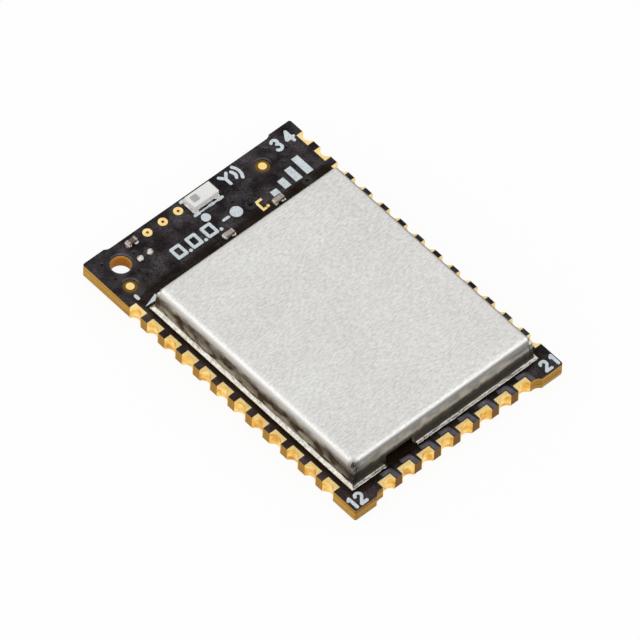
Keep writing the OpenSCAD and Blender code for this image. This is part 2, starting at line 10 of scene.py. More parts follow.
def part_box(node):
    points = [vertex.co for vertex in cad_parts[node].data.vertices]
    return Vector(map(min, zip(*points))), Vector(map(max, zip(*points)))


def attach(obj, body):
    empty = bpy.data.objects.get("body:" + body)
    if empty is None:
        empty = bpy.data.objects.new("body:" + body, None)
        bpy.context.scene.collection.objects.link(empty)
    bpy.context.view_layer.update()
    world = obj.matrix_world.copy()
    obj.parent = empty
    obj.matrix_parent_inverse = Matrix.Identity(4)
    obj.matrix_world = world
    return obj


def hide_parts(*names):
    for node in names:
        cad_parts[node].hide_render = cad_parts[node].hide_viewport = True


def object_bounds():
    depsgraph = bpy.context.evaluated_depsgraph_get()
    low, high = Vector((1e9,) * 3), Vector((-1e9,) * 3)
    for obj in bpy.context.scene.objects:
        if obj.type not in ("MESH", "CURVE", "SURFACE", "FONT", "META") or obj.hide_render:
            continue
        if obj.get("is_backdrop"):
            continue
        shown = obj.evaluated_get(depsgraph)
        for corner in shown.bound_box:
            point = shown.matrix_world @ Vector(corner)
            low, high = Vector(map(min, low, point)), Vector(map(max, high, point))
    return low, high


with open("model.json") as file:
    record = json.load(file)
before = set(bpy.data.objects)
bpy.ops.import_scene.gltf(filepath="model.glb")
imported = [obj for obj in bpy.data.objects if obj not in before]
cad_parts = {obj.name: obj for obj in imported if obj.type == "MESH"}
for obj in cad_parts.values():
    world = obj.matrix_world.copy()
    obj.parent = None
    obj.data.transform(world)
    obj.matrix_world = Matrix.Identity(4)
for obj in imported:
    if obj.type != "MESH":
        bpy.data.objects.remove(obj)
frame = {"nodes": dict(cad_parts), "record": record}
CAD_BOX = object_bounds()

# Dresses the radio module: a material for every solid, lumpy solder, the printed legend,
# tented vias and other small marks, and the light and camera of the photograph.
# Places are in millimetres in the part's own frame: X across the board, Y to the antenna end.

MM = 0.001
BODY = "root"
NODES = frame["nodes"]


def box_mm(node):
    """Corners of a CAD node's box."""
    low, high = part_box(node)
    return low / MM, high / MM


BOARD_LOW = box_mm("board_laminate")[0]
BOARD_TOP = box_mm("top_solder_mask")[1].z
CAN_LOW, CAN_HIGH = box_mm("shield_can")
ANTENNA_LOW, ANTENNA_HIGH = box_mm("antenna_body")


def mount_spot(mount):
    """Place of a mount on the board."""
    place = next(m["pos_m"] for m in frame["record"]["mounts"] if m["name"] == mount)
    return Vector(place[:2]) / MM


def add_object(name, data):
    thing = bpy.data.objects.new(name, data)
    bpy.context.scene.collection.objects.link(thing)
    return thing


# Materials

WHITE = (1.0, 1.0, 1.0)
# Least share of a normal along an axis for a face to look that way, and along Z to be level
FACING = 0.5
LEVEL = 0.7
EDGE_BLUR = 0.02


class NodeTree:
    """The nodes and links of a material or of the world."""

    def __init__(self, owner):
        owner.use_nodes = True
        self.nodes = owner.node_tree.nodes
        self.links = owner.node_tree.links

    def feed(self, socket, value):
        if isinstance(value, bpy.types.NodeSocket):
            self.links.new(value, socket)
        elif socket.type == "RGBA":
            socket.default_value = (*value, 1.0)
        else:
            socket.default_value = value

    def add(self, kind, inputs=None, output=0, **settings):
        """Adds a node with what feeds it, and gives back one of its outputs."""
        node = self.nodes.new("ShaderNode" + kind)
        for key, value in settings.items():
            setattr(node, key, value)
        for key, value in (inputs or {}).items():
            self.feed(node.inputs[key], value)
        return node.outputs[output]

    def math(self, operation, first, second=0.0):
        return self.add("Math", {0: first, 1: second}, operation=operation)

    def times(self, first, second):
        return self.math("MULTIPLY", first, second)

    def blend(self, share, first, second):
        """A number between two others."""
        return self.add("Mix", {0: share, 2: first, 3: second})


class Shader(NodeTree):
    """One procedural material. Its textures are placed in millimetres of the part's frame."""

    def __init__(self, name, metallic=0.0, roughness=0.5, specular=0.5):
        self.material = bpy.data.materials.new(name)
        super().__init__(self.material)
        self.surface = self.nodes["Principled BSDF"]
        self.set("Metallic", metallic)
        self.set("Roughness", roughness)
        self.set("Specular IOR Level", specular)
        self.place = self.add("TexCoord", output="Object")

    def set(self, name, value):
        self.feed(self.surface.inputs[name], value)

    def vector(self, operation, first, second, output=0):
        return self.add("VectorMath", {0: first, 1: second}, output, operation=operation)

    def noise(self, per_mm, detail=2.0):
        """Noise from 0 to 1 with that many features to the millimetre along X, Y and Z."""
        place = self.vector("MULTIPLY", self.place, [count / MM for count in per_mm])
        return self.add("TexNoise", {"Vector": place, "Scale": 1.0, "Detail": detail})

    def ramp(self, value, *stops):
        """Colour that runs through stops of (position, colour)."""
        node = self.nodes.new("ShaderNodeValToRGB")
        elements = node.color_ramp.elements
        while len(elements) < len(stops):
            elements.new(1.0)
        for element, (position, color) in zip(elements, stops):
            element.position = position
            element.color = (*color, 1.0)
        self.feed(node.inputs["Fac"], value)
        return node.outputs["Color"]

    def span(self, value, low, high, start=0.3, end=0.7):
        """A value mapped from start and end onto low and high."""
        inputs = {"Value": value, "From Min": start, "From Max": end, "To Min": low, "To Max": high}
        return self.add("MapRange", inputs)

    def mix(self, share, first, second):
        """A colour between two others."""
        return self.add("Mix", {0: share, 6: first, 7: second}, output=2, data_type="RGBA")

    def stain(self, share, color, tone):
        """A colour multiplied by a share of a tone."""
        return self.add("MixRGB", {0: share, 1: color, 2: tone}, blend_type="MULTIPLY")

    def axis(self, vector, name):
        return self.add("SeparateXYZ", {0: vector}, output=name)

    def normal(self):
        return self.add("NewGeometry", output="Normal")

    def facing(self, axis):
        """Share of the normal along an axis."""
        return self.axis(self.normal(), axis)

    def level_share(self):
        """One on faces that lie level, zero on upright ones."""
        return self.math("GREATER_THAN", self.math("ABSOLUTE", self.facing("Z")), LEVEL)

    def within(self, axis, low_mm, high_mm, blur_mm):
        """One between two places on an axis, zero outside them, with a soft step of that width."""
        place = self.axis(self.place, axis)
        above = self.span(place, 0.0, 1.0, (low_mm - blur_mm) * MM, low_mm * MM)
        below = self.span(place, 1.0, 0.0, high_mm * MM, (high_mm + blur_mm) * MM)
        return self.times(above, below)

    def patch(self, ends_x, ends_y, blur_mm):
        """One in a rectangle of the board, with soft sides."""
        return self.times(self.within("X", *ends_x, blur_mm), self.within("Y", *ends_y, blur_mm))

    def in_pad_rows(self):
        """One on the stretches of the board's edges that have pads."""
        side_low, side_high = box_mm("left_edge_pads")
        end_low, end_high = box_mm("end_edge_pads")
        beside = self.within("Y", side_low.y, side_high.y, EDGE_BLUR)
        below = self.patch((end_low.x, end_high.x), (end_low.y, end_high.y), EDGE_BLUR)
        return self.math("MAXIMUM", beside, below)

    def bump(self, height, depth_mm, strength=1.0):
        """Bumps of that depth, added to those that the surface already has."""
        inputs = {"Height": height, "Distance": depth_mm * MM, "Strength": strength}
        before = self.surface.inputs["Normal"]
        if before.is_linked:
            inputs["Normal"] = before.links[0].from_socket
        self.set("Normal", self.add("Bump", inputs))


# Distance from the tooling hole's middle within which laminate takes the hole's orange, and depth
# over which painted shade darkens the hole downward from a lighter rim
DRILLED_R = 0.75
HOLE_SHADE_DEPTH = 0.3
# Painted shade on the cut edges that face the pad end, colours of the teeth between pads (darker at
# the pad end by painted shade), and colour seen from above
END_PAINTED_SHADE = (0.74, 0.7, 0.55)
SIDE_TEETH = (0.41, 0.2, 0.02)
SHADED_END_TEETH = (0.17, 0.075, 0.005)
LEVEL_LAMINATE = (0.17, 0.088, 0.006)


def cut_edges(shader, layers, flecks):
    """Amber layers with flecks of glass, darker between the pads, with painted shade on the faces
    towards the pad end.
    """
    amber = shader.ramp(
        layers, (0.36, (0.3, 0.15, 0.012)), (0.5, (0.56, 0.29, 0.03)), (0.64, (0.74, 0.45, 0.09)))
    # Faces towards the pad end, which get painted shade
    end = shader.math("LESS_THAN", shader.facing("Y"), -FACING)
    cut = shader.stain(0.8, amber, flecks)
    cut = shader.stain(1.0, cut, shader.mix(end, WHITE, END_PAINTED_SHADE))
    return shader.mix(shader.in_pad_rows(), cut, shader.mix(end, SIDE_TEETH, SHADED_END_TEETH))


def drilled_hole(shader, flecks):
    """Share of the laminate that lies in the tooling hole, and its orange colour, darkened downward
    by painted shade.
    """
    hole = (*mount_spot("tooling_hole") * MM, BOARD_TOP / 2 * MM)
    off = shader.vector("DISTANCE", shader.place, hole, "Value")
    height = shader.axis(shader.place, "Z")
    # Painted shade: the hole darkens downward from a lighter rim at the board's top
    lip = shader.span(height, 0.0, 1.0, (BOARD_TOP - HOLE_SHADE_DEPTH) * MM, BOARD_TOP * MM)
    shaded_hole = shader.ramp(lip, (0.1, (0.66, 0.29, 0.012)), (0.9, (0.97, 0.58, 0.1)))
    return shader.math("LESS_THAN", off, DRILLED_R * MM), shader.stain(0.9, shaded_hole, flecks)


def laminate_material():
    """Glass laminate: amber on its cut edges, orange in the hole, dark from above, with painted
    shade on the pad end and down the hole.
    """
    shader = Shader("laminate", roughness=0.5, specular=0.15)
    layers = shader.noise((0.12, 0.12, 5.0), detail=3.0)
    fibres = shader.noise((7.0, 7.0, 26.0), detail=2.0)
    flecks = shader.ramp(fibres, (0.35, (0.7, 0.66, 0.55)), (0.65, WHITE))
    drilled, shaded_hole = drilled_hole(shader, flecks)
    sides = shader.mix(drilled, cut_edges(shader, layers, flecks), shaded_hole)
    shader.set("Base Color", shader.mix(shader.level_share(), sides, LEVEL_LAMINATE))
    shader.bump(fibres, 0.01)
    shader.bump(layers, 0.012)
    return shader.material


# Half width, ends, soft edge, colour and share of sheen of the painted shade on the mask round the
# can
DIM_HALF_W = 6.2
DIM_ENDS = (-9.0, 6.65)
DIM_BLUR = 0.25
CAN_SHADE_BLACK = (0.013, 0.008, 0.004)
CAN_SHADE_SHEEN = 0.25
# Right end and colour of the brown rim of mask along the left pads
RIM_END = -5.2
RIM_BROWN = (0.03, 0.018, 0.015)


def mask_tones(shader):
    """Colour and sheen of clean mask, which come and go over the copper."""
    clouds = shader.noise((0.7, 0.7, 0.7), detail=4.0)
    patches = shader.noise((1.1, 1.1, 0.3), detail=3.0)
    black = shader.ramp(clouds, (0.35, (0.003, 0.0018, 0.0022)), (0.68, (0.014, 0.009, 0.01)))
    sheen = shader.span(patches, 0.12, 0.58, 0.38, 0.68)
    shader.set("Roughness", shader.span(clouds, 0.16, 0.34))
    shader.set("Specular Tint", (1.0, 0.92, 1.0))
    return black, sheen


def mask_material():
    """Black mask with a violet sheen, darkened round the can by painted shade with less sheen,
    brown along the left pads.
    """
    shader = Shader("solder_mask")
    peel = shader.noise((9.0, 9.0, 9.0), detail=1.0)
    copper = shader.noise((0.55, 0.55, 0.1), detail=0.0)
    black, sheen = mask_tones(shader)
    upper = shader.math("GREATER_THAN", shader.axis(shader.place, "Z"), BOARD_TOP / 2 * MM)
    # Painted shade round the can, on the upper side: darker colour and less sheen
    can_shade = shader.patch((-DIM_HALF_W, DIM_HALF_W), DIM_ENDS, DIM_BLUR)
    can_shade = shader.times(can_shade, upper)
    rim = shader.patch((BOARD_LOW.x, RIM_END), (BOARD_LOW.y, DIM_ENDS[1]), DIM_BLUR)
    outer = shader.mix(shader.times(rim, upper), black, RIM_BROWN)
    shader.set("Base Color", shader.mix(can_shade, outer, CAN_SHADE_BLACK))
    sheen = shader.times(sheen, shader.blend(can_shade, 1.0, CAN_SHADE_SHEEN))
    shader.set("Specular IOR Level", shader.times(sheen, shader.span(peel, 0.5, 1.5)))
    shader.bump(peel, 0.009)
    steps = shader.span(copper, 0.0, 1.0, 0.46, 0.54)
    shader.bump(steps, 0.05, shader.blend(upper, 0.15, 1.0))
    return shader.material


# Way that the slopes of raised mask with painted sheen look: to the pad end's left corner
SHEEN_FACING = (-0.7, -0.7, 0.0)
LIP_BLACK = (0.008, 0.005, 0.006)
LIP_PAINTED_SHEEN = (0.12, 0.105, 0.135)


def lip_material(name, cloudy):
    """Mask drawn up over the copper's edge, with painted sheen on the slopes that face one way.
    Cloudy lips have the mask's tones.
    """
    shader = Shader(name, roughness=0.3, specular=0.3)
    dark = LIP_BLACK
    if cloudy:
        dark, sheen = mask_tones(shader)
        shader.set("Specular IOR Level", sheen)
    smears = shader.noise((2.5, 2.5, 2.5), detail=3.0)
    # Painted sheen on the slopes that face the pad end's left corner, broken by smears
    facing = shader.vector("DOT_PRODUCT", shader.normal(), SHEEN_FACING, "Value")
    slope = shader.span(facing, 0.0, 1.0, 0.09, 0.24)
    painted_sheen = shader.times(slope, shader.span(smears, 0.35, 1.0))
    shader.set("Base Color", shader.mix(painted_sheen, dark, LIP_PAINTED_SHEEN))
    return shader.material


def gold_material():
    """Gold plating: clean on the lands; deeper and rougher on the routed edges, partly their own
    finish and partly painted shade and reflection.
    """
    shader = Shader("gold_plating")
    blotches = shader.noise((2.6, 2.6, 2.6), detail=4.0)
    grain = shader.noise((13.0, 13.0, 13.0), detail=2.0)
    lands = shader.ramp(blotches, (0.3, (1.0, 0.67, 0.22)), (0.7, (1.0, 0.84, 0.4)))
    edges = shader.ramp(
        blotches, (0.3, (0.62, 0.29, 0.04)), (0.5, (0.97, 0.56, 0.11)), (0.68, (1.0, 0.82, 0.36)))
    # Upright faces take the deeper colour, partly painted shade and reflection
    level = shader.level_share()
    shader.set("Base Color", shader.mix(level, edges, lands))
    shader.set("Metallic", shader.blend(level, 1.0, 0.25))
    shader.set("Roughness", shader.blend(level, shader.span(grain, 0.22, 0.4), 0.5))
    shader.bump(grain, 0.008)
    shader.bump(blotches, 0.03)
    return shader.material


# Colour of a wall by its share of the can's height: stains, with painted shade that darkens it
# towards the foot and a painted reflection as a light band above
LEFT_WALL_STAIN_AND_SHADE = [
    (0.0, (0.5, 0.45, 0.37)), (0.28, (0.46, 0.4, 0.31)), (0.37, (0.25, 0.21, 0.16)),
    (0.48, (0.14, 0.118, 0.094)), (0.57, (0.34, 0.31, 0.27)), (0.68, (0.64, 0.62, 0.58)),
]
OTHER_WALLS_STAIN_AND_SHADE = [
    (0.0, (0.016, 0.013, 0.01)), (0.2, (0.06, 0.05, 0.04)), (0.44, (0.1, 0.088, 0.072)),
    (0.57, (0.66, 0.64, 0.6)), (0.7, (0.52, 0.5, 0.47)), (0.8, (0.28, 0.27, 0.26)),
]
# Shares of the height between which stains fade, and share of the blots on those other walls
STAIN_FADE = (0.56, 0.7)
OTHER_BLOTS = 0.3
# How much further down the bend the left side keeps the top's sheet, free of stains and painted
# shade
LEFT_BEND = 0.25
# Distances from the pad end's left corner over which the sooty foot and the sooty corner fade,
# and their darkest tone
BURNT_FOOT_R = (0.3, 2.6)
BURNT_CORNER_R = (0.42, 0.6)
BURNT_TONE = 0.48
# Nearly upright way: its cross product with the normal runs level along a wall
NEARLY_UP = (0.02, 0.03, 1.0)


def clean_sheet(shader, streaks):
    """Brushed tin with a faint patina."""
    clouds = shader.noise((0.3, 0.45, 0.45), detail=2.0)
    tone = shader.ramp(streaks, (0.28, (0.58, 0.575, 0.555)), (0.72, (0.825, 0.82, 0.795)))
    patina = shader.ramp(clouds, (0.3, (0.95, 0.945, 0.935)), (0.7, WHITE))
    return shader.stain(1.0, tone, patina)


def stained_and_shaded_walls(shader, height, ragged):
    """Walls with bands of stain and of painted shade and reflection, blots and drawn lines."""
    left = shader.math("LESS_THAN", shader.facing("X"), -FACING)
    walls = shader.mix(left, shader.ramp(ragged, *OTHER_WALLS_STAIN_AND_SHADE), shader.ramp(ragged, *LEFT_WALL_STAIN_AND_SHADE))
    spots = shader.noise((1.2, 1.2, 2.4), detail=4.0)
    blots = shader.ramp(spots, (0.42, (0.22, 0.175, 0.13)), (0.53, WHITE))
    threads = shader.noise((0.35, 0.35, 13.0))
    lines = shader.ramp(threads, (0.38, (0.68, 0.65, 0.6)), (0.55, WHITE))
    low = shader.span(height, 1.0, 0.0, *STAIN_FADE)
    walls = shader.stain(shader.times(low, shader.blend(left, OTHER_BLOTS, 1.0)), walls, blots)
    return shader.stain(low, walls, lines)


def corner_soot(shader, ragged):
    """Tone of the sooty foot and corner at the pad end's left."""
    level = shader.vector("MULTIPLY", shader.place, (1.0, 1.0, 0.0))
    off = shader.vector("DISTANCE", level, (CAN_LOW.x * MM, CAN_LOW.y * MM, 0.0), "Value")
    foot = shader.span(off, BURNT_TONE, 1.0, *[r * MM for r in BURNT_FOOT_R])
    foot = shader.math("MAXIMUM", foot, shader.span(ragged, 0.0, 1.0, 0.45, 0.75))
    corner = shader.span(off, BURNT_TONE, 1.0, *[r * MM for r in BURNT_CORNER_R])
    return shader.math("MINIMUM", foot, corner)


def can_material():
    """Tinned sheet: brushed along X, with stains and painted shade and reflection on the walls that
    don't face the antenna.
    """
    shader = Shader("can_sheet")
    streaks = shader.noise((4.5, 15.0, 15.0), detail=2.0)
    smears = shader.noise((2.4, 2.4, 0.7), detail=3.0)
    place_z = shader.axis(shader.place, "Z")
    height = shader.span(place_z, 0.0, 1.0, BOARD_TOP * MM, CAN_HIGH.z * MM)
    ragged = shader.math("ADD", height, shader.span(smears, -0.04, 0.04))
    bend = shader.times(shader.facing("X"), LEFT_BEND)
    upward = shader.math("SUBTRACT", shader.facing("Z"), bend)
    upward = shader.span(upward, 0.0, 1.0, 0.5, 0.76)
    behind = shader.math("GREATER_THAN", shader.facing("Y"), FACING)
    # Sheet without the walls' stains and painted shade: faces that look up, and those facing the
    # antenna
    clean = shader.math("MAXIMUM", upward, behind)
    walls = stained_and_shaded_walls(shader, height, ragged)
    color = shader.mix(clean, walls, clean_sheet(shader, streaks))
    shader.set("Base Color", shader.stain(1.0, color, corner_soot(shader, ragged)))
    shader.set("Metallic", shader.blend(clean, shader.span(ragged, 0.2, 0.9, 0.5, 0.66), 1.0))
    brushed, drawn = shader.span(streaks, 0.28, 0.36), shader.span(smears, 0.3, 0.42)
    shader.set("Roughness", shader.blend(upward, drawn, brushed))
    shader.set("Anisotropic", shader.blend(upward, 0.9, 0.0))
    shader.set("Tangent", shader.vector("CROSS_PRODUCT", shader.normal(), NEARLY_UP))
    shader.set("Specular Tint", (0.45, 0.42, 0.38))
    shader.bump(streaks, 0.0006)
    return shader.material


def solder_material():
    """Solder with frosted patches."""
    shader = Shader("solder", metallic=1.0)
    frost = shader.noise((6.0, 6.0, 6.0), detail=4.0)
    grain = shader.noise((22.0, 22.0, 22.0), detail=2.0)
    tone = shader.ramp(frost, (0.3, (0.36, 0.33, 0.28)), (0.62, (0.71, 0.69, 0.64)))
    shader.set("Base Color", tone)
    shader.set("Roughness", shader.span(frost, 0.2, 0.38))
    shader.bump(frost, 0.02)
    shader.bump(grain, 0.004)
    return shader.material


def tin_material(name, dark, light):
    shader = Shader(name, metallic=1.0)
    frost = shader.noise((9.0, 9.0, 9.0), detail=3.0)
    shader.set("Base Color", shader.ramp(frost, (0.3, dark), (0.7, light)))
    shader.set("Roughness", shader.span(frost, 0.3, 0.5))
    shader.bump(frost, 0.006)
    return shader.material


def ceramic_shader(name, *tones, roughness=0.5, specular=0.5):
    """A finely specked shader, and its colour for each pair of a dark and a light tone."""
    shader = Shader(name, roughness=roughness, specular=specular)
    specks = shader.noise((13.0, 13.0, 13.0), detail=3.0)
    shader.bump(specks, 0.004)
    return shader, [shader.ramp(specks, (0.35, dark), (0.65, light)) for dark, light in tones]


def ceramic_material(name, dark, light, **finish):
    shader, (color,) = ceramic_shader(name, (dark, light), **finish)
    shader.set("Base Color", color)
    return shader.material


# Tones of the antenna's top, and of its sides with painted light that makes them whiter
WHITE_TOP = ((0.78, 0.775, 0.755), (0.86, 0.855, 0.84))
WHITE_SIDES_PAINTED_LIGHT = ((0.92, 0.915, 0.89), (0.98, 0.975, 0.95))


def antenna_material():
    """White ceramic, a little grey on its top, with painted light that makes its sides whiter."""
    shader, (top, sides) = ceramic_shader("antenna_ceramic", WHITE_TOP, WHITE_SIDES_PAINTED_LIGHT)
    shader.set("Base Color", shader.mix(shader.level_share(), sides, top))
    return shader.material


BROWN_CHIP = ((0.09, 0.055, 0.05), (0.15, 0.095, 0.088))
GREY_CHIPS = ((0.33, 0.29, 0.26), (0.45, 0.4, 0.37))
# Place along X between the brown chip and the grey ones
CHIP_BORDER = -2.5


def outer_chip_material():
    """Brown ceramic on the chip beside the tooling hole, grey on the two beside the can."""
    shader, (brown, grey) = ceramic_shader(
        "outer_chip_ceramic", BROWN_CHIP, GREY_CHIPS, roughness=0.38)
    beside_can = shader.math("GREATER_THAN", shader.axis(shader.place, "X"), CHIP_BORDER * MM)
    shader.set("Base Color", shader.mix(beside_can, brown, grey))
    return shader.material


def ink_material():
    shader = Shader("legend_ink", roughness=0.6, specular=0.3)
    weave = shader.noise((10.0, 10.0, 10.0), detail=3.0)
    shader.set("Base Color", shader.ramp(weave, (0.3, (0.5, 0.57, 0.61)), (0.6, (0.7, 0.76, 0.78))))
    shader.bump(weave, 0.006)
    return shader.material


LAMINATE = laminate_material()
MASK = mask_material()
GOLD = gold_material()
CAN_SHEET = can_material()
SOLDER = solder_material()
TIN = tin_material("tinned_terminals", (0.58, 0.56, 0.52), (0.8, 0.79, 0.76))
DULL_TIN = tin_material("dull_terminals", (0.3, 0.24, 0.21), (0.5, 0.43, 0.39))
ANTENNA_CERAMIC = antenna_material()
ANTENNA_SILVER = ceramic_material("antenna_silver", (0.8, 0.79, 0.76), (0.94, 0.93, 0.9))
ANTENNA_INK = ceramic_material("antenna_ink", (0.35, 0.35, 0.34), (0.44, 0.44, 0.43))
OUTER_CHIP = outer_chip_material()
BEIGE_CERAMIC = ceramic_material("beige_ceramic", (0.3, 0.24, 0.18), (0.4, 0.33, 0.25))
BLUE_CERAMIC = ceramic_material("blue_ceramic", (0.1, 0.16, 0.2), (0.16, 0.23, 0.27))
MOULDING = ceramic_material(
    "moulding", (0.018, 0.018, 0.018), (0.035, 0.034, 0.034), roughness=0.62)
LEGEND_INK = ink_material()
MASK_LIP = lip_material("mask_lip_painted_sheen", cloudy=False)
MASK_RING = lip_material("mask_ring_painted_sheen", cloudy=True)
# Near black that stands for the painted shade in the vias' dimples
VIA_PAINTED_SHADE = ceramic_material(
    "via_painted_shade", (0.004, 0.001, 0.001), (0.016, 0.004, 0.004), specular=0.05)

SLOT_MATERIALS = {
    "laminate": LAMINATE,
    "solder_mask": MASK,
    "gold_plating": GOLD,
    "antenna_ceramic": ANTENNA_CERAMIC,
    "tinned_terminals": TIN,
    "chip_ceramic": BEIGE_CERAMIC,
    "solder": SOLDER,
    "can_sheet": CAN_SHEET,
    "moulding": MOULDING,
}
# Nodes that look unlike the rest of their slot
OWN_MATERIALS = {
    "outer_chip_bodies": OUTER_CHIP,
    "outer_chip_terminals": DULL_TIN,
    "rf_filter_body": BLUE_CERAMIC,
    "antenna_terminals": ANTENNA_SILVER,
}


def dress_cad_nodes():
    """Gives every CAD node its material."""
    for part in frame["record"]["subparts"]:
        node = part["node"]
        slots = NODES[node].data.materials
        slots.clear()
        slots.append(OWN_MATERIALS.get(node, SLOT_MATERIALS[part["material_slot"]]))


dress_cad_nodes()


# Mesh helpers

def finish_piece(name, mesh, material, smooth=True):
    """Turns a mesh drawn in millimetres into a piece of the part."""
    mesh.normal_update()
    for face in mesh.faces:
        face.smooth = smooth
    for vert in mesh.verts:
        vert.co *= MM
    data = bpy.data.meshes.new(name)
    mesh.to_mesh(data)
    mesh.free()
    data.materials.append(material)
    piece = add_object(name, data)
    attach(piece, BODY)
    return piece


def add_walls(mesh, rings):
    """Faces between neighbouring rings of vertices."""
    for first, second in zip(rings, rings[1:]):
        for i in range(len(first)):
            j = (i + 1) % len(first)
            mesh.faces.new((first[i], first[j], second[j], second[i]))


def add_rod(mesh, rings):
    """Walls between rings of vertices, and caps on both ends."""
    add_walls(mesh, rings)
    mesh.faces.new(rings[0][::-1])
    mesh.faces.new(rings[-1])


def wobble(place, per_mm, seed):
    """Smooth noise from -1 to 1 at a place in millimetres."""
    return noise.noise(Vector(place) * per_mm + Vector((seed, 0.0, 0.0)))


# Distance in metres within which a node's vertices are one
SAME_VERTEX = 1e-7


def loose_boxes(node):
    """Boxes of a node's separate solids, from left to right."""
    mesh = bmesh.new()
    mesh.from_mesh(NODES[node].data)
    bmesh.ops.remove_doubles(mesh, verts=mesh.verts, dist=SAME_VERTEX)
    waiting = set(mesh.verts)
    boxes = []
    while waiting:
        group, front = set(), [waiting.pop()]
        while front:
            vert = front.pop()
            group.add(vert)
            near = {link.other_vert(vert) for link in vert.link_edges} & waiting
            waiting -= near
            front += near
        spots = [vert.co / MM for vert in group]
        boxes.append((Vector(map(min, zip(*spots))), Vector(map(max, zip(*spots)))))
    mesh.free()
    return sorted(boxes, key=lambda box: (round(box[0].x, 3), round(box[0].y, 3)))


# Solder

# Middle and width of the gap in the fillet at the can's notch, and lean of the can's walls
NOTCH_MIDDLE = -2.84
NOTCH_GAP_W = 2.01
WALL_LEAN = math.tan(math.radians(4.5))
FILLET_STEP = 0.1
CORNER_STEPS = 6
CURVE_STEPS = 7
# How far the fillet reaches into the can's wall and into the board
FILLET_BACK = 0.05
FILLET_SUNK = 0.01
# Width, height and roundness of the fillet on each wall, by the wall's outward direction
FILLET_FORMS = {
    (-1, 0): (0.14, 0.16, 0.35),
    (0, -1): (0.17, 0.03, 0.3),
    (1, 0): (0.155, 0.12, 0.3),
    (0, 1): (0.155, 0.12, 0.3),
}
# Lumps to the millimetre and seed of each kind of unevenness
SLOW_WIDTH, QUICK_WIDTH = (0.9, 3.0), (3.1, 11.0)
SLOW_HEIGHT, QUICK_HEIGHT = (1.1, 23.0), (3.7, 31.0)
FILLET_GRAIN = (6.0, 47.0)
# How much finer the grain is upward than along the wall, and its height
GRAIN_SQUEEZE = 4
GRAIN_H = 0.012
# Shares of the width, of the height by its slow and quick lumps, and of the roundness that vary
WIDTH_PLAY = 0.16
HEIGHT_PLAY = (0.35, 0.3)
ROUND_PLAY = 0.2


def fillet_route():
    """Points round the can's foot from one side of the notch to the other, with their walls."""
    ends = [
        Vector((NOTCH_MIDDLE + NOTCH_GAP_W / 2, CAN_LOW.y)),
        Vector((CAN_HIGH.x, CAN_LOW.y)),
        Vector((CAN_HIGH.x, CAN_HIGH.y)),
        Vector((CAN_LOW.x, CAN_HIGH.y)),
        Vector((CAN_LOW.x, CAN_LOW.y)),
        Vector((NOTCH_MIDDLE - NOTCH_GAP_W / 2, CAN_LOW.y)),
    ]
    walls = [(0, -1), (1, 0), (0, 1), (-1, 0), (0, -1)]
    for i, wall in enumerate(walls):
        start, end = ends[i], ends[i + 1]
        steps = max(2, round((end - start).length / FILLET_STEP))
        for step in range(steps + 1):
            yield start.lerp(end, step / steps), wall, wall, 0.0
        if i + 1 < len(walls):
            for step in range(1, CORNER_STEPS):
                yield end, wall, walls[i + 1], step / CORNER_STEPS


def fillet_curve(point, width, height, bulge):
    """Distances from the can's wall and heights along one section of the fillet."""
    lean = height * WALL_LEAN
    yield -FILLET_BACK, -FILLET_SUNK
    yield -FILLET_BACK - lean, height
    for step in range(CURVE_STEPS + 1):
        share = step / CURVE_STEPS
        out = 2 * share * (1 - share) * width * bulge + share ** 2 * width - (1 - share) ** 2 * lean
        up = 2 * share * (1 - share) * height * bulge + (1 - share) ** 2 * height
        grain = wobble((point.x, point.y, GRAIN_SQUEEZE * up), *FILLET_GRAIN)
        grain *= GRAIN_H * math.sin(math.pi * share)
        yield out + grain, up + grain
    yield width, -FILLET_SUNK


def fillet_section(point, wall, next_wall, turn):
    """Lumpy section of the fillet: out of the can's wall, down its curve and back under."""
    outward = Vector(wall).lerp(Vector(next_wall), turn).normalized()
    form = Vector(FILLET_FORMS[wall]).lerp(Vector(FILLET_FORMS[next_wall]), turn)
    place = (point.x, point.y, 0.0)
    quick = wobble(place, *QUICK_WIDTH)
    width = form.x * (1 + WIDTH_PLAY * wobble(place, *SLOW_WIDTH) + WIDTH_PLAY * quick)
    lumps = (wobble(place, *SLOW_HEIGHT), wobble(place, *QUICK_HEIGHT))
    height = form.y * (1 + HEIGHT_PLAY[0] * lumps[0] + HEIGHT_PLAY[1] * lumps[1])
    curve = fillet_curve(point, width, height, form.z + ROUND_PLAY * quick)
    return [(*(point + out * outward), BOARD_TOP + up) for out, up in curve]


def make_shield_fillet():
    """Uneven solder round the can's foot."""
    mesh = bmesh.new()
    add_rod(mesh, [[mesh.verts.new(co) for co in fillet_section(*stop)] for stop in fillet_route()])
    piece = finish_piece("shield_fillet", mesh, SOLDER)
    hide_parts("shield_solder")


BLOB_RINGS = 9
BLOB_SIDES = 22
LUMPS_PER_RADIUS = 1.6


def add_blob(mesh, spot, radii, seed, lumps=0.12, square=2.0):
    """Lumpy drop with a flat foot on the board, round at a square of 2 and boxier above."""
    def point(slope, angle):
        across, along = math.cos(angle), math.sin(angle)
        way = Vector((across * math.cos(slope), along * math.cos(slope), math.sin(slope)))
        size = 1 + lumps * wobble(way, LUMPS_PER_RADIUS, seed)
        way.xy *= (abs(across) ** square + abs(along) ** square) ** (-1 / square)
        skin = Vector([radius * share * size for radius, share in zip(radii, way)])
        return mesh.verts.new(Vector((spot[0], spot[1], BOARD_TOP)) + skin)

    angles = [math.tau * j / BLOB_SIDES for j in range(BLOB_SIDES)]
    slopes = [math.pi / 2 * i / BLOB_RINGS for i in range(BLOB_RINGS)]
    rings = [[point(slope, angle) for angle in angles] for slope in slopes]
    top = point(math.pi / 2, 0.0)
    add_walls(mesh, rings)
    for first, second in zip(rings[-1], rings[-1][1:] + rings[-1][:1]):
        mesh.faces.new((first, second, top))
    mesh.faces.new(rings[0][::-1])


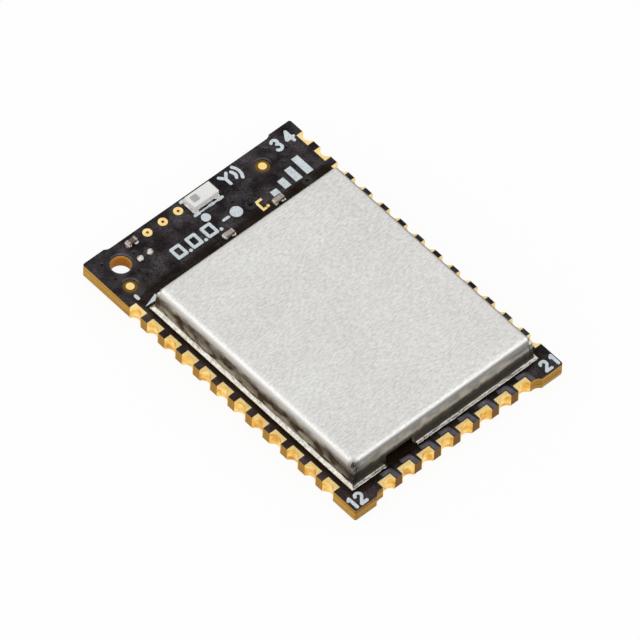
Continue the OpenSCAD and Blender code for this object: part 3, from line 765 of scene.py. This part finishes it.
# Seeds, lumps and squareness of the blobs on each kind of land
CHIP_BLOBS = (5.0, 0.16, 4.0)
ANTENNA_BLOBS = (61.0, 0.06, 8.0)
SPARE_SEED = 17.0
FEED_SEED = 29.0
DIMPLE_SEED = 41.0
LEFT_BLOB_H = 0.24
RIGHT_BLOB_H = 0.07
ANTENNA_BLOB_H = 0.07
# How far a blob reaches past its land
LAND_COVER = 0.03
SPARE_BLOB = (0.2, 0.2, 0.19)
FEED_DOME = (0.11, 0.11, 0.1)
# Place of the feed's drop from the right and lower sides of its land
FEED_DOME_IN = (0.06, 0.08)


def add_land_blob(mesh, low, high, height, index, blobs):
    """Blob that covers one of a row of lands."""
    seed, lumps, square = blobs
    middle, half = (low + high) / 2, (high - low) / 2
    radii = (half.x + LAND_COVER, half.y + LAND_COVER, height)
    add_blob(mesh, middle, radii, seed + index, lumps, square)


def make_chip_solder():
    """Blobs that cover the chips' lands, the higher ones on the left ends."""
    chips = loose_boxes("outer_chip_bodies")
    mesh = bmesh.new()
    for i, (low, high) in enumerate(loose_boxes("chip_lands")):
        middle = (low + high) / 2
        chip = min(chips, key=lambda box: ((box[0] + box[1]) / 2 - middle).length)
        height = LEFT_BLOB_H if middle.x < (chip[0].x + chip[1].x) / 2 else RIGHT_BLOB_H
        add_land_blob(mesh, low, high, height, i, CHIP_BLOBS)
    piece = finish_piece("chip_solder", mesh, SOLDER)
    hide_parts("outer_chip_solder")


def make_antenna_solder():
    """Thin solder that wets the antenna's lands."""
    mesh = bmesh.new()
    for i, (low, high) in enumerate(loose_boxes("antenna_lands")):
        add_land_blob(mesh, low, high, ANTENNA_BLOB_H, i, ANTENNA_BLOBS)
    finish_piece("antenna_solder", mesh, SOLDER)


def make_spare_solder():
    """Domes on the lands that have no part."""
    mesh = bmesh.new()
    for i, (low, high) in enumerate(loose_boxes("spare_lands")):
        add_blob(mesh, (low + high) / 2, SPARE_BLOB, SPARE_SEED + i)
    piece = finish_piece("spare_solder", mesh, SOLDER)
    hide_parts("spare_land_solder")


def make_feed_dome():
    """Small drop of gold on the lower end of the feed land."""
    low, high = box_mm("feed_land")
    mesh = bmesh.new()
    add_blob(mesh, (high.x - FEED_DOME_IN[0], low.y + FEED_DOME_IN[1]), FEED_DOME, FEED_SEED)
    finish_piece("feed_dome", mesh, GOLD)


make_shield_fillet()
make_chip_solder()
make_antenna_solder()
make_spare_solder()
make_feed_dome()


# Relief of the mask

RIDGE_SIDES = 48
RIDGE_FOOT = -0.02
VIAS = [
    (1.82, 7.27), (-6.12, 9.25), (-4.5, 8.79), (-6.19, 8.18), (5.51, 8.78),
    (5.52, 8.01), (5.43, 7.28), (4.84, 8.12), (1.28, 7.99), (4.95, 6.58),
]
FLAT_VIA = (-5.1, 7.93)
# Radii of the dark blob of painted shade at each via's dimple
VIA_DIMPLE = (0.105, 0.105, 0.006)
# Radius and height along a section of the mask over a filled via
VIA_SECTION = [
    (0.05, RIDGE_FOOT), (0.07, -0.004), (0.14, 0.013), (0.17, 0.014),
    (0.3, -0.001), (0.34, -0.006), (0.35, RIDGE_FOOT),
]
# Place outside an opening's edge and height along a section of the mask's lip
RIDGE_RISE = [
    (0.005, RIDGE_FOOT), (0.02, -0.006), (0.15, 0.022), (0.19, 0.023),
    (0.4, -0.001), (0.46, -0.008), (0.47, RIDGE_FOOT),
]
# Radii of the openings in the mask
TOOLING_HOLE_R = 0.55
FIDUCIAL_OPENING_R = 0.39


def add_turned(mesh, center, section):
    """Ring turned about an upright axis from a section that starts and ends in the board."""
    base = Vector((*center, BOARD_TOP))
    rings = []
    for i in range(RIDGE_SIDES):
        angle = math.tau * i / RIDGE_SIDES
        across, along = math.cos(angle), math.sin(angle)
        spots = [base + Vector((r * across, r * along, up)) for r, up in section[::-1]]
        rings.append([mesh.verts.new(spot) for spot in spots])
    add_walls(mesh, rings + rings[:1])


def make_via_caps():
    """Mask raised over the vias, with a dark blob of painted shade for the dimple in the middle."""
    mesh = bmesh.new()
    for spot in VIAS:
        add_turned(mesh, spot, VIA_SECTION)
    finish_piece("via_caps", mesh, MASK_LIP)
    dimples = bmesh.new()
    for i, spot in enumerate(VIAS + [FLAT_VIA]):
        add_blob(dimples, spot, VIA_DIMPLE, DIMPLE_SEED + i)
    finish_piece("via_dimple_shade", dimples, VIA_PAINTED_SHADE)


def make_ridges():
    """Raised lip of mask round the tooling hole and the fiducials."""
    mesh = bmesh.new()
    spots = [(mount_spot("tooling_hole"), TOOLING_HOLE_R)]
    for low, high in loose_boxes("fiducials"):
        spots.append(((low + high).xy / 2, FIDUCIAL_OPENING_R))
    for center, radius in spots:
        add_turned(mesh, center, [(radius + step, up) for step, up in RIDGE_RISE])
    finish_piece("mask_ridges", mesh, MASK_RING)


TRACKS = [
    [(-4.55, 7.1), (-4.05, 7.6), (-4.05, 8.35), (-3.75, 8.65)],
    [(-3.4, 8.1), (-2.9, 8.6), (-1.1, 8.6), (-0.75, 8.85)],
    [(1.3, 7.99), (1.3, 8.7), (1.05, 8.95)],
    [(1.82, 7.27), (2.35, 7.8), (2.35, 8.45), (3.2, 8.45)],
    [(3.2, 9.45), (4.6, 9.45), (5.5, 8.8)],
    [(-2.7, 6.35), (-1.2, 6.35), (-0.9, 6.55)],
    [(-5.1, 7.97), (-5.1, 6.9), (-4.6, 6.4), (-3.2, 6.4)],
    [(4.84, 8.12), (4.3, 8.12), (3.9, 7.95)],
]
# Place across a track and height along a section of the mask over it, from its right side
TRACK_SECTION = [
    (0.18, RIDGE_FOOT), (0.18, 0.0), (0.137, 0.014), (0.086, 0.028), (0.0, 0.031),
    (-0.086, 0.028), (-0.137, 0.014), (-0.18, 0.0), (-0.18, RIDGE_FOOT),
]


def add_strip(mesh, line, section):
    """Strip of one section along a line on the board."""
    spots = [Vector(spot) for spot in line]
    rings = []
    for i, spot in enumerate(spots):
        before = (spot - spots[i - 1]).normalized() if i else (spots[1] - spot).normalized()
        after = (spots[i + 1] - spot).normalized() if i + 1 < len(spots) else before
        along = (before + after).normalized()
        side = Vector((along.y, -along.x)) / along.dot(before)
        places = [(*(spot + out * side), BOARD_TOP + up) for out, up in section]
        rings.append([mesh.verts.new(place) for place in places])
    add_rod(mesh, rings)


def make_tracks():
    """Copper tracks that show as low ridges under the mask."""
    mesh = bmesh.new()
    for line in TRACKS:
        add_strip(mesh, line, TRACK_SECTION)
    finish_piece("mask_tracks", mesh, MASK)


# Length of an end pad's upper land, and distance of the lip from it
TOP_LAND_L = 0.4
PAD_LIP_OFF = 0.25
# Place across the lip and height along its section, from the pad's side
PAD_LIP_SECTION = [
    (0.22, RIDGE_FOOT), (0.21, -0.004), (0.02, 0.044),
    (-0.02, 0.045), (-0.1, 0.0), (-0.11, RIDGE_FOOT),
]


def make_pad_lips():
    """Mask that climbs over the copper beside the end pads, on their inner ends and right sides."""
    mesh = bmesh.new()
    for low, high in loose_boxes("end_edge_pads"):
        left, right = (low.x + high.x) / 2, high.x + PAD_LIP_OFF
        inner = low.y + TOP_LAND_L + PAD_LIP_OFF
        add_strip(mesh, [(left, inner), (right, inner), (right, low.y)], PAD_LIP_SECTION)
    finish_piece("pad_lips", mesh, MASK_LIP)


make_via_caps()
make_ridges()
make_tracks()
make_pad_lips()


# Printed legend

INK_T = 0.036
INK_SUNK = 0.004
STROKE = 0.17
THIN_STROKE = 0.1
CAP_STEPS = 5
ARC_STEP = 18
# How far the ink ran, how many times to the millimetre, and the seeds along X and Y
BLEED = 0.022
BLEEDS_PER_MM = 5.0
BLEED_SEEDS = (1.0, 7.0)
# Kind of result that fills the outlines with triangles, and distance within which points are one
ALL_TRIANGLES = 0
SAME_SPOT = 1e-5


def arc(center, radius, start, end):
    """Points along an arc between two angles in degrees."""
    steps = max(2, round(abs(end - start) / ARC_STEP))
    angles = [math.radians(start + (end - start) * i / steps) for i in range(steps + 1)]
    return [(center[0] + radius * math.cos(a), center[1] + radius * math.sin(a)) for a in angles]


def box_line(low, high):
    return [low, (high[0], low[1]), high, (low[0], high[1]), low]


def stroke(line, width=STROKE):
    """Outlines of a pen's run along a line, one with round ends for each stretch."""
    outlines = []
    for first, second in zip(line, line[1:]):
        heading = math.atan2(second[1] - first[1], second[0] - first[0])
        outline = []
        for end, turn in ((second, -90), (first, 90)):
            for i in range(CAP_STEPS + 1):
                angle = heading + math.radians(turn + 180 * i / CAP_STEPS)
                outline.append(Vector(end) + width / 2 * Vector((math.cos(angle), math.sin(angle))))
        outlines.append(outline)
    return outlines


def disc(center, diameter):
    return [Vector(spot) for spot in arc(center, diameter / 2, 0, 360)[:-1]]


def bleed(spot):
    """Moves a point of the ink's edge as the ink ran on the mask."""
    place = (spot.x, spot.y, 0.0)
    return spot + BLEED * Vector([wobble(place, BLEEDS_PER_MM, seed) for seed in BLEED_SEEDS])


def print_piece(name, outlines, material=LEGEND_INK, height=BOARD_TOP):
    """Prints overlapping outlines as one thin closed layer."""
    spots, loops = [], []
    for outline in outlines:
        loops.append(list(range(len(spots), len(spots) + len(outline))))
        spots += [bleed(spot) for spot in outline]
    flat, _, faces, _, _, sources = delaunay_2d_cdt(spots, [], loops, ALL_TRIANGLES, SAME_SPOT)
    inked = [face for face, source in zip(faces, sources) if source]
    edges = {(face[i], face[(i + 1) % len(face)]) for face in inked for i in range(len(face))}
    mesh = bmesh.new()
    used = sorted({i for face in inked for i in face})
    top = {i: mesh.verts.new((*flat[i], height + INK_T)) for i in used}
    foot = {i: mesh.verts.new((*flat[i], height - INK_SUNK)) for i in used}
    for face in inked:
        mesh.faces.new([top[i] for i in face])
        mesh.faces.new([foot[i] for i in face[::-1]])
    for a, b in edges:
        if (b, a) not in edges:
            mesh.faces.new((foot[a], foot[b], top[b], top[a]))
    finish_piece(name, mesh, material, smooth=False)


# Lines of each digit in a box of height 1, about the middle of its foot
DIGITS = {
    "1": [[(-0.12, 0.84), (0.06, 1.0), (0.06, 0.0)]],
    "2": [arc((0.0, 0.72), 0.28, 165, -35) + [(-0.28, 0.0), (0.3, 0.0)]],
    "3": [arc((0.0, 0.76), 0.25, 150, -80), arc((0.0, 0.26), 0.27, 80, -150)],
    "4": [[(0.16, 0.0), (0.16, 1.0), (-0.28, 0.33), (0.36, 0.33)]],
}
# Text, middle of its first digit, height of the line and distance between digits
PIN_NUMBERS = [
    ("34", (5.26, 9.16), 0.66, 0.78),
    ("12", (-6.63, -9.47), 0.62, 0.5),
    ("21", (6.04, -9.47), 0.58, 0.58),
]
FIRST_PIN_TICK = [(-6.16, 6.77), (-6.16, 6.55)]
FIRST_PIN_WEDGE = [(-6.22, 5.96), (-5.35, 5.92), (-5.35, 6.26)]


def digit_lines(text, middle, height, pitch):
    for i, digit in enumerate(text):
        for line in DIGITS[digit]:
            left, low = middle[0] + i * pitch, middle[1] - height / 2
            yield [(left + height * x, low + height * y) for x, y in line]


def make_pin_marks():
    """Pin numbers at three corners and two marks at the first pin."""
    outlines = []
    for number in PIN_NUMBERS:
        for line in digit_lines(*number):
            outlines += stroke(line)
    outlines += stroke(FIRST_PIN_TICK)
    outlines.append([Vector(spot) for spot in FIRST_PIN_WEDGE])
    print_piece("legend_pin_marks", outlines)


# Heights and ends of the two thin lines beside the antenna, and their bold dashes
ANTENNA_LINES_Y = (8.53, 9.6)
ANTENNA_LINE_X = (-0.66, 1.1)
DASHES_X = (-0.66, 0.28, 0.86)
DASH_L = 0.24
ANTENNA_DISC = ((-0.34, 8.11), 0.5)


def make_antenna_marks():
    """Dashed lines on both sides of the antenna, and a disc beside it."""
    left, right = ANTENNA_LINE_X
    outlines = []
    for y in ANTENNA_LINES_Y:
        outlines += stroke([(left, y), (right, y)], THIN_STROKE)
        for x in DASHES_X:
            outlines += stroke([(x, y), (x + DASH_L, y)])
    outlines.append(disc(*ANTENNA_DISC))
    print_piece("legend_antenna_marks", outlines)


# Middles, half width, foot and top of the boxes, and each box's dot from its middle
CODE_BOXES_X = (-2.75, -1.75, -0.75)
CODE_BOX_HALF = 0.25
CODE_BOX_Y = (7.1, 7.72)
CODE_DOT_OFF = 0.5
CODE_DOT_Y = 7.08
CODE_DOT_W = 0.2
CODE_BAR = [(0.2, 7.4), (0.5, 7.4)]
CODE_DISC = ((1.02, 7.4), 0.66)


def make_code_row():
    """Row of boxes, dots, a bar and a disc along the middle of the antenna end."""
    low, high = CODE_BOX_Y
    outlines = []
    for x in CODE_BOXES_X:
        outlines += stroke(box_line((x - CODE_BOX_HALF, low), (x + CODE_BOX_HALF, high)))
        outlines.append(disc((x + CODE_DOT_OFF, CODE_DOT_Y), CODE_DOT_W))
    outlines += stroke(CODE_BAR)
    outlines.append(disc(*CODE_DISC))
    print_piece("legend_code_row", outlines)


BAR_W = 0.4
BAR_PITCH = 0.72
BAR_HEIGHTS = (0.34, 0.62, 0.9, 1.18)
FIRST_BAR = (3.05, 6.85)


def make_signal_bars():
    """Four bars that rise to the right."""
    outlines = []
    for i, height in enumerate(BAR_HEIGHTS):
        left, foot = FIRST_BAR[0] + BAR_PITCH * i, FIRST_BAR[1]
        corners = ((0.0, 0.0), (BAR_W, 0.0), (BAR_W, height), (0.0, height))
        outlines.append([Vector((left + x, foot + y)) for x, y in corners])
    print_piece("legend_signal_bars", outlines)


AERIAL_MAST = [(1.98, 8.86), (1.98, 9.3)]
AERIAL_ARMS = [(1.74, 9.5), (1.98, 9.24), (2.22, 9.5)]
WAVES_MIDDLE = (2.16, 9.18)
WAVES_R = (0.36, 0.66)
WAVES_HALF_ANGLE = 38


def make_aerial_sign():
    """Mast with two arms and two waves."""
    outlines = stroke(AERIAL_MAST) + stroke(AERIAL_ARMS)
    for radius in WAVES_R:
        outlines += stroke(arc(WAVES_MIDDLE, radius, -WAVES_HALF_ANGLE, WAVES_HALF_ANGLE))
    print_piece("legend_aerial_sign", outlines)


# Half side and corner radius of the antenna's square, and its place from the antenna's middle
MARK_HALF = 0.19
MARK_CORNER_R = 0.06
MARK_OFF = (-0.43, 0.02)


def make_antenna_mark():
    """Grey square on top of the antenna, to the left of its middle."""
    middle = (ANTENNA_LOW + ANTENNA_HIGH) / 2
    reach = MARK_HALF - MARK_CORNER_R
    spots = []
    for x, y, start in ((1, -1, -90), (1, 1, 0), (-1, 1, 90), (-1, -1, 180)):
        center = (middle.x + MARK_OFF[0] + x * reach, middle.y + MARK_OFF[1] + y * reach)
        spots += [Vector(spot) for spot in arc(center, MARK_CORNER_R, start, start + 90)]
    print_piece("antenna_mark", [spots], ANTENNA_INK, ANTENNA_HIGH.z)


make_pin_marks()
make_antenna_marks()
make_code_row()
make_signal_bars()
make_aerial_sign()
make_antenna_mark()


# Light, floor and camera, with their sizes and distances in metres

PHOTO_W = 640
PIXELS_PER_MM = 20.5155
ORIGIN_PIXEL = (321.93, 323.67)
CAMERA_AWAY = 0.8
CAMERA_SEES = 10.0
CAMERA_RIGHT = Vector((0.7407907, -0.6711602, 0.0278052))
CAMERA_UP = Vector((0.5226408, 0.6018780, 0.6038125))
CAMERA_BACK = Vector((-0.4219902, -0.4327666, 0.7966413))
# Width of the sensor in millimetres
SENSOR = 36.0


def turn_to(thing, turn):
    thing.rotation_mode = "QUATERNION"
    thing.rotation_quaternion = turn


def make_camera():
    """Camera of the photograph, worked out from its picture of the pads and the corners."""
    data = bpy.data.cameras.new("photo_camera")
    camera = add_object("photo_camera", data)
    half_view = PHOTO_W / 2 / PIXELS_PER_MM * MM
    data.sensor_width = SENSOR
    data.lens = SENSOR / 2 * CAMERA_AWAY / half_view
    data.clip_end = CAMERA_SEES
    across = (PHOTO_W / 2 - ORIGIN_PIXEL[0]) / PIXELS_PER_MM * MM
    upward = (ORIGIN_PIXEL[1] - PHOTO_W / 2) / PIXELS_PER_MM * MM
    target = across * CAMERA_RIGHT + upward * CAMERA_UP
    camera.location = target + CAMERA_AWAY * CAMERA_BACK
    axes = Matrix((CAMERA_RIGHT, CAMERA_UP, CAMERA_BACK)).transposed()
    turn_to(camera, axes.to_quaternion())
    bpy.context.scene.camera = camera


SEEN_RAYS = ("Is Camera Ray", "Is Glossy Ray", "Is Transmission Ray")


def seen_share(tree):
    """One where the surface is seen or mirrored, zero where it only gives light."""
    share, *others = [tree.add("LightPath", output=name) for name in SEEN_RAYS]
    for other in others:
        share = tree.math("MAXIMUM", share, other)
    return share


FLOOR_W = 1.2
FLOOR_WHITE = (0.96, 0.96, 0.96)
BACKGROUND_SHARE = 0.9


def floor_material():
    """White that keeps a soft share of the shadow and can't be seen from below."""
    material = bpy.data.materials.new("floor")
    tree = NodeTree(material)
    tree.nodes.remove(tree.nodes["Principled BSDF"])
    white = tree.add("BsdfDiffuse", {"Color": FLOOR_WHITE})
    glow = tree.add("Emission", {"Strength": 1.0})
    bright = tree.times(seen_share(tree), BACKGROUND_SHARE)
    lit = tree.add("MixShader", {0: bright, 1: white, 2: glow})
    below = tree.add("NewGeometry", output="Backfacing")
    one_sided = tree.add("MixShader", {0: below, 1: lit, 2: tree.add("BsdfTransparent")})
    tree.feed(tree.nodes["Material Output"].inputs["Surface"], one_sided)
    return material


def make_floor():
    half = FLOOR_W / 2
    mesh = bpy.data.meshes.new("floor")
    corners = [(-half, -half, 0), (half, -half, 0), (half, half, 0), (-half, half, 0)]
    mesh.from_pydata(corners, [], [(0, 1, 2, 3)])
    mesh.materials.append(floor_material())
    floor = add_object("floor", mesh)
    floor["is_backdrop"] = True


WORLD_FILL = 0.8


def make_world():
    """White surroundings, with a little less light on the part than they show."""
    world = bpy.data.worlds.new("studio")
    bpy.context.scene.world = world
    tree = NodeTree(world)
    background = tree.nodes["Background"]
    tree.feed(background.inputs["Color"], WHITE)
    tree.feed(background.inputs["Strength"], tree.blend(seen_share(tree), WORLD_FILL, 1.0))


# Each softbox has the direction from the part, its side and its brightness
SOFTBOXES = {
    "softbox_left": ((-0.8, 0.42, 0.36), 0.5, 0.5),
    "softbox_right": ((0.42, -0.72, 0.55), 0.36, 0.55),
    "softbox_top": ((-0.3, -0.2, 0.93), 0.5, 0.4),
}
SOFTBOX_AWAY = 0.6


def make_softboxes():
    for name, (direction, side, brightness) in SOFTBOXES.items():
        data = bpy.data.lights.new(name, "AREA")
        data.shape = "SQUARE"
        data.size = side
        data.energy = brightness * math.pi * side * side
        lamp = add_object(name, data)
        away = Vector(direction).normalized()
        lamp.location = away * SOFTBOX_AWAY
        turn_to(lamp, away.to_track_quat("Z", "Y"))


make_camera()
make_floor()
make_world()
make_softboxes()
bpy.context.scene.view_settings.view_transform = "Standard"

boxes = {"cad": CAD_BOX, "visual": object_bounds()}
{name: [list(corner) for corner in box] for name, box in boxes.items()}
